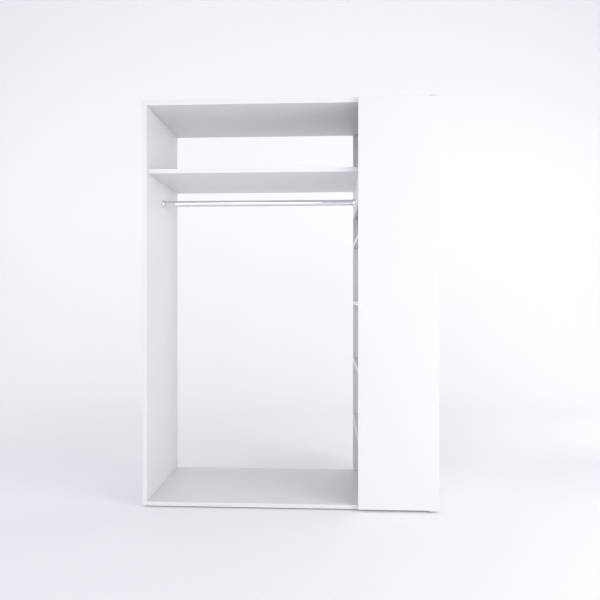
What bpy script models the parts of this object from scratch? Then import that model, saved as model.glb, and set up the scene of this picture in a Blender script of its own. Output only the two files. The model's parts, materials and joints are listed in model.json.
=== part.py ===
"""Open wardrobe with a hanging bay and a shelf column behind one door.

Metres, +Z up, the front faces -Y, and the origin is on the floor under the middle.
"""

import math

import bmesh
import bpy
from mathutils import Matrix, Vector

# ------------------------------------------------------------------ driving sizes
WIDTH = 1.450
CARCASS_DEPTH = 0.600
CARCASS_HEIGHT = 2.000
GLIDE_HEIGHT = 0.008

SIDE_THICKNESS = 0.022
TOP_THICKNESS = 0.025
BOTTOM_THICKNESS = 0.020
SHELF_THICKNESS = 0.022
COLUMN_BACK_THICKNESS = 0.016
RAIL_BOARD_THICKNESS = 0.018
DOOR_THICKNESS = 0.018
BOARD_EDGE_RADIUS = 0.001

COLUMN_WIDTH = 0.367
COLUMN_SHELVES = 4
COLUMN_SHELF_SETBACK = 0.0055
TOP_SHELF_SETBACK = 0.0255
HAT_BAY_HEIGHT = 0.308
RAIL_BOARD_HEIGHT = 0.160

FIT_GAP = 0.0003
DOOR_BACK_GAP = 0.002
DOOR_SIDE_REVEAL = 0.001
DOOR_END_GAP = 0.0016

RAIL_RADIUS = 0.016
RAIL_WALL = 0.0015
RAIL_DROP = 0.109
SOCKET_FLANGE_RADIUS = 0.023
SOCKET_FLANGE_THICKNESS = 0.003
SOCKET_LENGTH = 0.015
SOCKET_WALL = 0.0022
SOCKET_SCREW_OFFSET = 0.008

PIN_RADIUS = 0.003
BUSH_WALL = 0.0012
BUSH_FLANGE_RADIUS = 0.0065
BRACKET_THICKNESS = 0.003
BRACKET_LEAF_HEIGHT = 0.018
BRACKET_NOSE = 0.0075
LEAF_SCREW_OFFSETS = (0.022, 0.033)
PLATE_THICKNESS = 0.002
DOOR_CHEEK = 0.003
PLATE_HEEL = 0.007
PLATE_REACH = 0.038
PLATE_SCREW_OFFSETS = (0.015, 0.029)

LATCHED_SHELVES = {"lower": 2, "upper": 4}
LATCH_INSET = 0.035
SLEEVE_RADIUS = 0.005
SLEEVE_LENGTH = 0.048
SLEEVE_FLANGE_RADIUS = 0.0065
SLEEVE_FLANGE_THICKNESS = 0.001
SLEEVE_END_WALL = 0.002
PLUNGER_RADIUS = 0.003
PLUNGER_SIDE_GAP = 0.0004
PLUNGER_LENGTH = 0.030
PLUNGER_TIP_GAP = 0.0005
STRIKE_RADIUS = 0.007
STRIKE_THICKNESS = 0.001
SPRING_WIRE_RADIUS = 0.0003
SPRING_TURNS = 6

CONNECTOR_LENGTH = 0.050
CONNECTOR_HEAD_RADIUS = 0.005
CONNECTOR_SHANK_RADIUS = 0.003
CONNECTOR_KEY_RADIUS = 0.0023
CONNECTOR_KEY_DEPTH = 0.003
CONNECTOR_SETBACK = 0.060

SCREW_LENGTH = 0.016
SCREW_HEAD_RADIUS = 0.0033
SCREW_SHANK_RADIUS = 0.0016

GLIDE_RADIUS = 0.010
GLIDE_CHAMFER = 0.0015
GLIDE_NAIL_RADIUS = 0.00125
GLIDE_NAIL_LENGTH = 0.014
GLIDE_SETBACK = 0.040

# ------------------------------------------------------------------ derived places
OUTER_X = WIDTH / 2
INNER_X = OUTER_X - SIDE_THICKNESS
SIDE_MID_X = OUTER_X - SIDE_THICKNESS / 2
DIVIDER_X = INNER_X - COLUMN_WIDTH
OVERALL_DEPTH = CARCASS_DEPTH + DOOR_BACK_GAP + DOOR_THICKNESS
REAR_Y = OVERALL_DEPTH / 2
FRONT_Y = REAR_Y - CARCASS_DEPTH
CARCASS_MID_Y = (FRONT_Y + REAR_Y) / 2
CARCASS_BASE_Z = GLIDE_HEIGHT
CARCASS_TOP_Z = CARCASS_BASE_Z + CARCASS_HEIGHT
BOTTOM_TOP_Z = CARCASS_BASE_Z + BOTTOM_THICKNESS
BOTTOM_MID_Z = CARCASS_BASE_Z + BOTTOM_THICKNESS / 2
TOP_UNDERSIDE_Z = CARCASS_TOP_Z - TOP_THICKNESS
SHELF_TOP_Z = TOP_UNDERSIDE_Z - HAT_BAY_HEIGHT
SHELF_UNDERSIDE_Z = SHELF_TOP_Z - SHELF_THICKNESS
SHELF_MID_Z = SHELF_TOP_Z - SHELF_THICKNESS / 2
COLUMN_PITCH = (SHELF_MID_Z - BOTTOM_MID_Z) / (COLUMN_SHELVES + 1)
COLUMN_BACK_Y = REAR_Y - COLUMN_BACK_THICKNESS

# The door lies over the front edges of the carcass. It turns on a vertical axis through the
# middle of its thickness, and its heel is rounded about that axis behind it, so that it
# passes the right side panel with an even gap.
DOOR_BACK_Y = FRONT_Y - DOOR_BACK_GAP
DOOR_FACE_Y = DOOR_BACK_Y - DOOR_THICKNESS
DOOR_RIGHT_X = OUTER_X - DOOR_SIDE_REVEAL
HEEL_RADIUS = DOOR_THICKNESS / 2
AXIS_X = DOOR_RIGHT_X - HEEL_RADIUS
AXIS_Y = DOOR_FACE_Y + DOOR_THICKNESS / 2
DOOR_BOTTOM_Z = CARCASS_BASE_Z + BRACKET_THICKNESS + DOOR_END_GAP
DOOR_TOP_Z = CARCASS_TOP_Z - BRACKET_THICKNESS - DOOR_END_GAP
TOP_SHELF_FRONT_Y = FRONT_Y + TOP_SHELF_SETBACK
COLUMN_SHELF_FRONT_Y = FRONT_Y + COLUMN_SHELF_SETBACK

RAIL_Z = SHELF_UNDERSIDE_Z - RAIL_DROP
LATCH_X = DIVIDER_X + LATCH_INSET
STRIKE_BACK_Y = DOOR_BACK_Y + FIT_GAP + STRIKE_THICKNESS
PLUNGER_TIP_Y = STRIKE_BACK_Y + PLUNGER_TIP_GAP
PLUNGER_END_Y = PLUNGER_TIP_Y + PLUNGER_LENGTH
SLEEVE_FRONT_Y = COLUMN_SHELF_FRONT_Y - FIT_GAP - SLEEVE_FLANGE_THICKNESS
SLEEVE_BORE_END_Y = COLUMN_SHELF_FRONT_Y + SLEEVE_LENGTH - SLEEVE_END_WALL

RAIL_STEPS = 24
BUSH_STEPS = 16
HEEL_STEPS = 8
CONNECTOR_STEPS = 12
SCREW_STEPS = 8

LEFT = Vector((-1, 0, 0))
RIGHT = Vector((1, 0, 0))
REARWARD = Vector((0, 1, 0))
UP = Vector((0, 0, 1))
DOWN = Vector((0, 0, -1))

# ------------------------------------------------------------------ materials
FINISHES = {
    "white_board": ((0.86, 0.87, 0.89, 1.0), 0.45, 0.0),
    "chrome": ((0.80, 0.81, 0.83, 1.0), 0.08, 1.0),
    "zinc_steel": ((0.62, 0.63, 0.65, 1.0), 0.35, 1.0),
    "white_steel": ((0.84, 0.85, 0.87, 1.0), 0.40, 0.0),
    "white_plastic": ((0.82, 0.83, 0.84, 1.0), 0.40, 0.0),
    "grey_plastic": ((0.42, 0.43, 0.45, 1.0), 0.50, 0.0),
}

collections = {}
parts = {}
cutter_shapes = {}


def start_scene():
    """Empties the scene and makes a collection for the parts and one for the cutters."""
    for old in list(bpy.data.objects):
        bpy.data.objects.remove(old, do_unlink=True)
    for key in ("open_wardrobe", "cutters"):
        collections[key] = bpy.data.collections.new(key)
        bpy.context.scene.collection.children.link(collections[key])


def finish_material(name, finish):
    """A material of its own for one sub-part, in one of the finishes."""
    colour, roughness, metallic = FINISHES[finish]
    material = bpy.data.materials.new(name)
    material.use_nodes = True
    shader = material.node_tree.nodes["Principled BSDF"]
    shader.inputs["Base Color"].default_value = colour
    shader.inputs["Roughness"].default_value = roughness
    shader.inputs["Metallic"].default_value = metallic
    material.diffuse_color = colour
    return material


def place(name, mesh, location, direction, collection):
    """An object whose local +Z points along direction."""
    piece = bpy.data.objects.new(name, mesh)
    piece.location = location
    piece.rotation_euler = UP.rotation_difference(Vector(direction)).to_euler()
    collections[collection].objects.link(piece)
    return piece


def add_part(name, mesh, location, direction, finish):
    """A sub-part from a mesh of its own or one shared with its twins."""
    piece = place(name, mesh, location, direction, "open_wardrobe")
    if not mesh.materials:
        mesh.materials.append(finish_material(name, finish))
    else:
        piece.material_slots[0].link = "OBJECT"
        piece.material_slots[0].material = finish_material(name, finish)
    parts[name] = piece
    return piece


def box_mesh(name, size):
    """A box of the given size about its own middle."""
    shape = bmesh.new()
    bmesh.ops.create_cube(shape, size=1.0)
    bmesh.ops.scale(shape, vec=size, verts=shape.verts)
    mesh = bpy.data.meshes.new(name)
    shape.to_mesh(mesh)
    shape.free()
    return mesh


def prism_mesh(name, radius, depth, sides):
    """A straight prism or cylinder about its own middle, along Z."""
    shape = bmesh.new()
    bmesh.ops.create_cone(
        shape,
        cap_ends=True,
        segments=sides,
        radius1=radius,
        radius2=radius,
        depth=depth,
    )
    mesh = bpy.data.meshes.new(name)
    shape.to_mesh(mesh)
    shape.free()
    return mesh


def baked_mesh(piece):
    """The mesh of a piece as its modifiers leave it; the piece itself is removed."""
    depsgraph = bpy.context.evaluated_depsgraph_get()
    mesh = bpy.data.meshes.new_from_object(piece.evaluated_get(depsgraph))
    mesh.name = piece.name
    bpy.data.objects.remove(piece, do_unlink=True)
    return mesh


def turned_mesh(name, outline, steps, hollow=False):
    """Turns an outline of (radius, height) points, outer side downwards, about Z."""
    mesh = bpy.data.meshes.new(name)
    shape = bmesh.new()
    points = [shape.verts.new((radius, 0.0, height)) for radius, height in outline]
    pairs = list(zip(points, points[1:]))
    if hollow:
        pairs.append((points[-1], points[0]))
    for pair in pairs:
        shape.edges.new(pair)
    shape.to_mesh(mesh)
    shape.free()
    lathe = place(name, mesh, (0, 0, 0), UP, "cutters")
    screw = lathe.modifiers.new("turn", "SCREW")
    screw.axis = "Z"
    screw.angle = 2 * math.pi
    screw.steps = steps
    screw.render_steps = steps
    screw.use_smooth_shade = False
    screw.use_merge_vertices = True
    screw.merge_threshold = 0.00001
    return baked_mesh(lathe)


def combine(target, other, operation):
    """Adds or subtracts one hidden helper object."""
    other.hide_render = True
    other.display_type = "WIRE"
    boolean = target.modifiers.new(other.name, "BOOLEAN")
    boolean.operation = operation
    boolean.solver = "EXACT"
    boolean.object = other


def cut_hole(target, mesh, location, direction, layer="holes"):
    """Notes a hole or a recess of the mesh's shape, which drill_parts cuts into the part."""
    key = (layer, target.name)
    if key not in cutter_shapes:
        cutter_shapes[key] = bmesh.new()
    turn = UP.rotation_difference(Vector(direction)).to_matrix().to_4x4()
    copy = mesh.copy()
    copy.transform(Matrix.Translation(location) @ turn)
    cutter_shapes[key].from_mesh(copy)
    bpy.data.meshes.remove(copy)


def drill_parts():
    """Cuts each part's recesses and then its holes, each set in one go."""
    for layer, name in sorted(cutter_shapes, reverse=True):
        shape = cutter_shapes[layer, name]
        mesh = bpy.data.meshes.new(f"{layer}_{name}")
        shape.to_mesh(mesh)
        shape.free()
        cutter = place(f"{layer}_{name}", mesh, (0, 0, 0), UP, "cutters")
        combine(parts[name], cutter, "DIFFERENCE")


def extruded_mesh(name, outline, travel):
    """A flat outline of points, drawn out along the vector travel."""
    shape = bmesh.new()
    base = shape.faces.new([shape.verts.new(point) for point in outline])
    drawn = bmesh.ops.extrude_face_region(shape, geom=[base])
    moved = [item for item in drawn["geom"] if isinstance(item, bmesh.types.BMVert)]
    bmesh.ops.translate(shape, vec=travel, verts=moved)
    bmesh.ops.recalc_face_normals(shape, faces=shape.faces)
    mesh = bpy.data.meshes.new(name)
    shape.to_mesh(mesh)
    shape.free()
    return mesh


def round_edges(piece, thickness):
    """Lightly rounded edges, as a bevel that stays live."""
    edges = piece.modifiers.new("edge_rounding", "BEVEL")
    edges.width = min(BOARD_EDGE_RADIUS, thickness / 3)
    edges.segments = 2
    edges.limit_method = "ANGLE"


def add_board(name, low, high):
    """A board with lightly rounded edges between two corners."""
    low = Vector(low)
    high = Vector(high)
    size = high - low
    piece = add_part(name, box_mesh(name, size), (low + high) / 2, UP, "white_board")
    round_edges(piece, min(size))


# ------------------------------------------------------------------ boards
def column_shelf_z(number):
    """Height of the middle of a column shelf, counted from the bottom."""
    return BOTTOM_MID_Z + number * COLUMN_PITCH


def build_carcass():
    """Side, top and bottom panels, and the shelf across the whole width."""
    side_top = TOP_UNDERSIDE_Z - FIT_GAP
    add_board("left_side_panel", (-OUTER_X, FRONT_Y, CARCASS_BASE_Z), (-INNER_X, REAR_Y, side_top))
    add_board("right_side_panel", (INNER_X, FRONT_Y, CARCASS_BASE_Z), (OUTER_X, REAR_Y, side_top))
    add_board("top_panel", (-OUTER_X, FRONT_Y, TOP_UNDERSIDE_Z), (OUTER_X, REAR_Y, CARCASS_TOP_Z))
    between = INNER_X - FIT_GAP
    add_board("bottom_panel", (-between, FRONT_Y, CARCASS_BASE_Z), (between, REAR_Y, BOTTOM_TOP_Z))
    add_board("top_shelf", (-between, TOP_SHELF_FRONT_Y, SHELF_UNDERSIDE_Z), (between, REAR_Y, SHELF_TOP_Z))


def build_column():
    """Backs and shelves of the column, and the short board that holds the rail's end."""
    right = INNER_X - FIT_GAP
    add_board(
        "column_back_lower",
        (DIVIDER_X, COLUMN_BACK_Y, BOTTOM_TOP_Z + FIT_GAP),
        (right, REAR_Y, SHELF_UNDERSIDE_Z - FIT_GAP),
    )
    add_board(
        "column_back_upper",
        (DIVIDER_X, COLUMN_BACK_Y, SHELF_TOP_Z + FIT_GAP),
        (right, REAR_Y, TOP_UNDERSIDE_Z - FIT_GAP),
    )
    rear = COLUMN_BACK_Y - FIT_GAP
    for number in range(1, COLUMN_SHELVES + 1):
        middle = column_shelf_z(number)
        add_board(
            f"column_shelf_{number}",
            (DIVIDER_X, COLUMN_SHELF_FRONT_Y, middle - SHELF_THICKNESS / 2),
            (right, rear, middle + SHELF_THICKNESS / 2),
        )
    add_board(
        "rail_support_board",
        (DIVIDER_X, TOP_SHELF_FRONT_Y, SHELF_UNDERSIDE_Z - RAIL_BOARD_HEIGHT),
        (DIVIDER_X + RAIL_BOARD_THICKNESS, rear, SHELF_UNDERSIDE_Z - FIT_GAP),
    )


def build_door():
    """The one door, over the front of the column, with its origin on its pivot axis."""
    left = DIVIDER_X - AXIS_X
    half = DOOR_THICKNESS / 2
    outline = [(left, half, 0), (left, -half, 0), (HEEL_RADIUS, -half, 0)]
    for step in range(HEEL_STEPS + 1):
        angle = math.pi / 2 * step / HEEL_STEPS
        outline.append((HEEL_RADIUS * math.cos(angle), HEEL_RADIUS * math.sin(angle), 0))
    panel = extruded_mesh("door_panel", outline, UP * (DOOR_TOP_Z - DOOR_BOTTOM_Z))
    door = add_part("door_panel", panel, (AXIS_X, AXIS_Y, DOOR_BOTTOM_Z), UP, "white_board")
    round_edges(door, DOOR_THICKNESS)


# ------------------------------------------------------------------ small screws
def screw_outline(grow=0.0, above=0.0):
    """Countersunk screw with its head's face at height 0, pointing down."""
    head = SCREW_HEAD_RADIUS + grow
    shank = SCREW_SHANK_RADIUS + grow
    cone_depth = SCREW_HEAD_RADIUS - SCREW_SHANK_RADIUS
    tip = -SCREW_LENGTH - grow
    outline = [(0, above), (head, above)]
    if above:
        outline.append((head, 0))
    outline += [(shank, -cone_depth), (shank, tip + shank), (0, tip)]
    return outline


def build_screw_shapes():
    """The screw that is shared by all small fixings, and the hole that it needs."""
    screw = turned_mesh("screw", screw_outline(), SCREW_STEPS)
    hole = turned_mesh("screw_hole", screw_outline(FIT_GAP, SCREW_HEAD_RADIUS), SCREW_STEPS)
    return screw, hole


def drive_screw(name, shapes, location, direction, targets):
    """Puts a small screw in, pointing along direction, and cuts its hole in each target."""
    screw, hole = shapes
    outwards = -Vector(direction)
    add_part(name, screw, location, outwards, "zinc_steel")
    for target in targets:
        cut_hole(parts[target], hole, location, outwards)


# ------------------------------------------------------------------ hanging rail
def socket_mesh():
    """Round flange with a collar, along +Z from the board that it is screwed to."""
    bore = RAIL_RADIUS + FIT_GAP
    collar = bore + SOCKET_WALL
    outline = [
        (0, SOCKET_FLANGE_THICKNESS),
        (bore, SOCKET_FLANGE_THICKNESS),
        (bore, SOCKET_LENGTH),
        (collar, SOCKET_LENGTH),
        (collar, SOCKET_FLANGE_THICKNESS),
        (SOCKET_FLANGE_RADIUS, SOCKET_FLANGE_THICKNESS),
        (SOCKET_FLANGE_RADIUS, 0),
        (0, 0),
    ]
    return turned_mesh("rail_socket", outline, RAIL_STEPS)


def build_rail(shapes):
    """Chrome tube between the left side panel and the rail support board."""
    seats = {
        "left": (-INNER_X, RIGHT, "left_side_panel"),
        "right": (DIVIDER_X, LEFT, "rail_support_board"),
    }
    for side, (board_x, inwards, board) in seats.items():
        base = Vector((board_x, CARCASS_MID_Y, RAIL_Z)) + inwards * FIT_GAP
        socket = f"rail_socket_{side}"
        add_part(socket, socket_mesh(), base, inwards, "chrome")
        for place_name, offset in (("upper", 1), ("lower", -1)):
            head = base + inwards * SOCKET_FLANGE_THICKNESS + UP * offset * SOCKET_SCREW_OFFSET
            name = f"rail_screw_{side}_{place_name}"
            drive_screw(name, shapes, head, -inwards, (socket, board))
    seat_depth = FIT_GAP + SOCKET_FLANGE_THICKNESS + FIT_GAP
    left_end = -INNER_X + seat_depth
    right_end = DIVIDER_X - seat_depth
    inner = RAIL_RADIUS - RAIL_WALL
    half = (right_end - left_end) / 2
    outline = [(RAIL_RADIUS, half), (RAIL_RADIUS, -half), (inner, -half), (inner, half)]
    tube = turned_mesh("hanging_rail", outline, RAIL_STEPS, hollow=True)
    middle = ((left_end + right_end) / 2, CARCASS_MID_Y, RAIL_Z)
    add_part("hanging_rail", tube, middle, RIGHT, "chrome")


# ------------------------------------------------------------------ door pivots
def bush_mesh():
    """Flanged bush through the bracket's arm, along -Z from the arm's surface at height 0."""
    bore = PIN_RADIUS + FIT_GAP
    outer = bore + BUSH_WALL
    flange_top = DOOR_END_GAP - FIT_GAP
    outline = [
        (bore, flange_top),
        (BUSH_FLANGE_RADIUS, flange_top),
        (BUSH_FLANGE_RADIUS, FIT_GAP),
        (outer, FIT_GAP),
        (outer, -BRACKET_THICKNESS),
        (bore, -BRACKET_THICKNESS),
    ]
    return turned_mesh("pivot_bush", outline, BUSH_STEPS, hollow=True)


def add_bracket(name, end_z, outwards):
    """Angle bracket: a leaf let into the carcass front and an arm over the door's end."""
    thick = BRACKET_THICKNESS
    nose = AXIS_Y - BRACKET_NOSE - FRONT_Y
    profile = [
        (nose, 0),
        (thick, 0),
        (thick, -BRACKET_LEAF_HEIGHT),
        (0, -BRACKET_LEAF_HEIGHT),
        (0, -thick),
        (nose, -thick),
    ]
    outline = [(-PLATE_REACH, y, z * outwards.z) for y, z in profile]
    angle = extruded_mesh(name, outline, RIGHT * (PLATE_REACH + PLATE_HEEL))
    return add_part(name, angle, (AXIS_X, FRONT_Y, end_z), UP, "white_steel")


def cut_leaf_recess(boards, end_z):
    """Lets the bracket's leaf into the front edges of the boards behind it."""
    length = PLATE_HEEL + PLATE_REACH + 2 * FIT_GAP
    depth = BRACKET_THICKNESS + FIT_GAP
    height = BRACKET_LEAF_HEIGHT + FIT_GAP
    recess = box_mesh("leaf_recess", (length, 2 * depth, 2 * height))
    middle_x = AXIS_X + (PLATE_HEEL - PLATE_REACH) / 2
    for board in boards:
        cut_hole(parts[board], recess, (middle_x, FRONT_Y, end_z), UP, "recesses")


def add_door_plate(name, door_z, outwards):
    """Plate let flush into the door's end, with the pin standing on it."""
    length = PLATE_HEEL + PLATE_REACH
    width = DOOR_THICKNESS - 2 * DOOR_CHEEK
    middle_x = AXIS_X + (PLATE_HEEL - PLATE_REACH) / 2
    middle = Vector((middle_x, AXIS_Y, door_z)) - outwards * PLATE_THICKNESS / 2
    mesh = box_mesh(name, (length, width, PLATE_THICKNESS))
    plate = add_part(name, mesh, middle, UP, "zinc_steel")
    grown = (length + 2 * FIT_GAP, width + 2 * FIT_GAP, 2 * (PLATE_THICKNESS + FIT_GAP))
    recess = box_mesh(f"{name}_recess", grown)
    cut_hole(parts["door_panel"], recess, (middle_x, AXIS_Y, door_z), UP, "recesses")
    pin_length = PLATE_THICKNESS + DOOR_END_GAP + BRACKET_THICKNESS
    pin_mesh = prism_mesh("pin", PIN_RADIUS, pin_length, BUSH_STEPS)
    pin_middle = Vector((AXIS_X, AXIS_Y, door_z)) - outwards * (PLATE_THICKNESS - pin_length / 2)
    combine(plate, place(f"{name}_pin", pin_mesh, pin_middle, UP, "cutters"), "UNION")
    return plate


def build_pivot(end, end_z, door_z, boards, outwards, shapes):
    """One end's pivot: bracket and bush on the carcass, plate with its pin in the door."""
    bracket_name = f"{end}_pivot_plate"
    bracket = add_bracket(bracket_name, end_z, outwards)
    cut_leaf_recess(boards, end_z)
    bush_place = Vector((AXIS_X, AXIS_Y, end_z)) - outwards * BRACKET_THICKNESS
    add_part(f"{end}_pivot_bush", bush_mesh(), bush_place, -outwards, "white_plastic")
    hole_radius = PIN_RADIUS + FIT_GAP + BUSH_WALL + FIT_GAP
    hole = prism_mesh("bush_hole", hole_radius, 4 * BRACKET_THICKNESS, BUSH_STEPS)
    cut_hole(bracket, hole, bush_place, UP)

    door_plate = f"{end}_door_pivot"
    add_door_plate(door_plate, door_z, outwards)
    leaf_middle = end_z - outwards.z * (BRACKET_THICKNESS + BRACKET_LEAF_HEIGHT) / 2
    for number in (1, 2):
        on_leaf = (AXIS_X - LEAF_SCREW_OFFSETS[number - 1], FRONT_Y, leaf_middle)
        name = f"{end}_plate_screw_{number}"
        drive_screw(name, shapes, on_leaf, REARWARD, (bracket_name, boards[0]))
        in_door = (AXIS_X - PLATE_SCREW_OFFSETS[number - 1], AXIS_Y, door_z)
        name = f"{end}_door_screw_{number}"
        drive_screw(name, shapes, in_door, -outwards, (door_plate, "door_panel"))


def build_pivots(shapes):
    """Pivots over the top and under the bottom of the door's right-hand edge."""
    build_pivot("upper", CARCASS_TOP_Z, DOOR_TOP_Z, ("top_panel",), UP, shapes)
    under = ("bottom_panel", "right_side_panel")
    build_pivot("lower", CARCASS_BASE_Z, DOOR_BOTTOM_Z, under, DOWN, shapes)


# ------------------------------------------------------------------ push latches
def sleeve_mesh():
    """Flanged sleeve with a closed end, mouth at +Z, flange face at height 0."""
    bore = PLUNGER_RADIUS + PLUNGER_SIDE_GAP
    under_flange = -SLEEVE_FLANGE_THICKNESS
    length = COLUMN_SHELF_FRONT_Y + SLEEVE_LENGTH - SLEEVE_FRONT_Y
    floor = -length + SLEEVE_END_WALL
    outline = [
        (0, floor),
        (bore, floor),
        (bore, 0),
        (SLEEVE_FLANGE_RADIUS, 0),
        (SLEEVE_FLANGE_RADIUS, under_flange),
        (SLEEVE_RADIUS, under_flange),
        (SLEEVE_RADIUS, -length),
        (0, -length),
    ]
    return turned_mesh("latch_sleeve", outline, BUSH_STEPS)


def plunger_mesh():
    """Plunger with a rounded tip at height 0, running down."""
    rounding = 0.001
    outline = [
        (0, 0),
        (PLUNGER_RADIUS - rounding, 0),
        (PLUNGER_RADIUS, -rounding),
        (PLUNGER_RADIUS, -PLUNGER_LENGTH),
        (0, -PLUNGER_LENGTH),
    ]
    return turned_mesh("latch_plunger", outline, BUSH_STEPS)


def spring_mesh():
    """Coil spring along Z from height 0, as long as the room behind the plunger."""
    length = SLEEVE_BORE_END_Y - PLUNGER_END_Y - 2 * (SPRING_WIRE_RADIUS + FIT_GAP)
    radius = PLUNGER_RADIUS - SPRING_WIRE_RADIUS
    points_per_turn = 8
    count = SPRING_TURNS * points_per_turn
    curve = bpy.data.curves.new("spring", "CURVE")
    curve.dimensions = "3D"
    curve.bevel_depth = SPRING_WIRE_RADIUS
    curve.bevel_resolution = 1
    curve.use_fill_caps = True
    spline = curve.splines.new("POLY")
    spline.points.add(count)
    for index, point in enumerate(spline.points):
        angle = 2 * math.pi * index / points_per_turn
        height = length * index / count
        point.co = (radius * math.cos(angle), radius * math.sin(angle), height, 1.0)
    coil = bpy.data.objects.new("spring", curve)
    collections["cutters"].objects.link(coil)
    mesh = baked_mesh(coil)
    shape = bmesh.new()
    shape.from_mesh(mesh)
    bmesh.ops.remove_doubles(shape, verts=shape.verts, dist=0.00001)
    shape.to_mesh(mesh)
    shape.free()
    return mesh


def strike_mesh():
    """Thin round plate with a chamfered face at +Z."""
    chamfer = STRIKE_THICKNESS / 3
    outline = [
        (0, STRIKE_THICKNESS),
        (STRIKE_RADIUS - chamfer, STRIKE_THICKNESS),
        (STRIKE_RADIUS, STRIKE_THICKNESS - chamfer),
        (STRIKE_RADIUS, 0),
        (0, 0),
    ]
    return turned_mesh("strike_plate", outline, BUSH_STEPS)


def build_latches():
    """Push latches in the front edges of two column shelves, and their strike plates."""
    sleeve = sleeve_mesh()
    plunger = plunger_mesh()
    spring = spring_mesh()
    strike = strike_mesh()
    forward = -REARWARD
    spring_start = PLUNGER_END_Y + FIT_GAP + SPRING_WIRE_RADIUS
    hole_depth = SLEEVE_LENGTH + FIT_GAP
    hole = prism_mesh("sleeve_hole", SLEEVE_RADIUS + FIT_GAP, 2 * hole_depth, BUSH_STEPS)
    for level, number in LATCHED_SHELVES.items():
        height = column_shelf_z(number)
        shelf = parts[f"column_shelf_{number}"]
        cut_hole(shelf, hole, (LATCH_X, COLUMN_SHELF_FRONT_Y, height), REARWARD)
        front = (LATCH_X, SLEEVE_FRONT_Y, height)
        add_part(f"{level}_latch_sleeve", sleeve, front, forward, "grey_plastic")
        tip = (LATCH_X, PLUNGER_TIP_Y, height)
        add_part(f"{level}_latch_plunger", plunger, tip, forward, "white_plastic")
        add_part(f"{level}_latch_spring", spring, (LATCH_X, spring_start, height), REARWARD, "zinc_steel")
        on_door = (LATCH_X, DOOR_BACK_Y + FIT_GAP, height)
        add_part(f"{level}_strike_plate", strike, on_door, REARWARD, "zinc_steel")


# ------------------------------------------------------------------ connector screws
def connector_outline(grow=0.0, above=0.0):
    """Carcass connector screw with its head's face at height 0, pointing down."""
    head = CONNECTOR_HEAD_RADIUS + grow
    shank = CONNECTOR_SHANK_RADIUS + grow
    rim = -0.001
    cone_end = rim - (CONNECTOR_HEAD_RADIUS - CONNECTOR_SHANK_RADIUS)
    tip = -CONNECTOR_LENGTH - grow
    return [(0, above), (head, above), (head, rim), (shank, cone_end), (shank, tip + shank), (0, tip)]


def connector_mesh():
    """The connector screw with its six-sided key socket."""
    blank = turned_mesh("connector", connector_outline(), CONNECTOR_STEPS)
    body = place("connector", blank, (0, 0, 0), UP, "cutters")
    key = prism_mesh("key_socket", CONNECTOR_KEY_RADIUS, 2 * CONNECTOR_KEY_DEPTH, 6)
    combine(body, place("key_socket", key, (0, 0, 0), UP, "cutters"), "DIFFERENCE")
    return baked_mesh(body)


def build_connectors():
    """Screws that hold the top, the bottom and the full-width shelf to the side panels."""
    screw = connector_mesh()
    hole_outline = connector_outline(FIT_GAP, CONNECTOR_HEAD_RADIUS)
    hole = turned_mesh("connector_hole", hole_outline, CONNECTOR_STEPS)
    rows = {"front": FRONT_Y + CONNECTOR_SETBACK, "rear": REAR_Y - CONNECTOR_SETBACK}
    for side, sign in (("left", -1), ("right", 1)):
        side_panel = f"{side}_side_panel"
        outwards = RIGHT * sign
        for row, y in rows.items():
            spots = {
                "top": ((sign * SIDE_MID_X, y, CARCASS_TOP_Z), UP, "top_panel"),
                "shelf": ((sign * OUTER_X, y, SHELF_MID_Z), outwards, "top_shelf"),
                "bottom": ((sign * OUTER_X, y, BOTTOM_MID_Z), outwards, "bottom_panel"),
            }
            for level, (spot, out, board) in spots.items():
                head = Vector(spot) - out * FIT_GAP
                add_part(f"{level}_connector_{side}_{row}", screw, head, out, "zinc_steel")
                for target in (board, side_panel):
                    cut_hole(parts[target], hole, head, out)


# ------------------------------------------------------------------ floor glides
def glide_outline():
    """Nail-on glide: a low puck on the floor with its nail pointing up."""
    top = GLIDE_HEIGHT - FIT_GAP
    nail_top = GLIDE_HEIGHT + GLIDE_NAIL_LENGTH
    return [
        (0, nail_top),
        (GLIDE_NAIL_RADIUS, nail_top - GLIDE_NAIL_RADIUS),
        (GLIDE_NAIL_RADIUS, top),
        (GLIDE_RADIUS, top),
        (GLIDE_RADIUS, GLIDE_CHAMFER),
        (GLIDE_RADIUS - GLIDE_CHAMFER, 0),
        (0, 0),
    ]


def build_glides():
    """Glides under both side panels and under the bottom panel below the column's edge."""
    glide = turned_mesh("glide", glide_outline(), BUSH_STEPS)
    hole_depth = GLIDE_NAIL_LENGTH + FIT_GAP
    nail_hole = prism_mesh("nail_hole", GLIDE_NAIL_RADIUS + FIT_GAP, 2 * hole_depth, SCREW_STEPS)
    columns = {
        "left": (-SIDE_MID_X, "left_side_panel"),
        "middle": (DIVIDER_X + GLIDE_RADIUS, "bottom_panel"),
        "right": (SIDE_MID_X, "right_side_panel"),
    }
    rows = {"front": FRONT_Y + GLIDE_SETBACK, "rear": REAR_Y - GLIDE_SETBACK}
    for column, (x, board) in columns.items():
        for row, y in rows.items():
            add_part(f"glide_{column}_{row}", glide, (x, y, 0), UP, "grey_plastic")
            cut_hole(parts[board], nail_hole, (x, y, GLIDE_HEIGHT), UP)


def main():
    start_scene()
    build_carcass()
    build_column()
    build_door()
    screw_shapes = build_screw_shapes()
    build_rail(screw_shapes)
    build_pivots(screw_shapes)
    build_latches()
    build_connectors()
    build_glides()
    drill_parts()


main()
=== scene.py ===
"""Finished looks of the open wardrobe, built around its fixed frame."""

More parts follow.
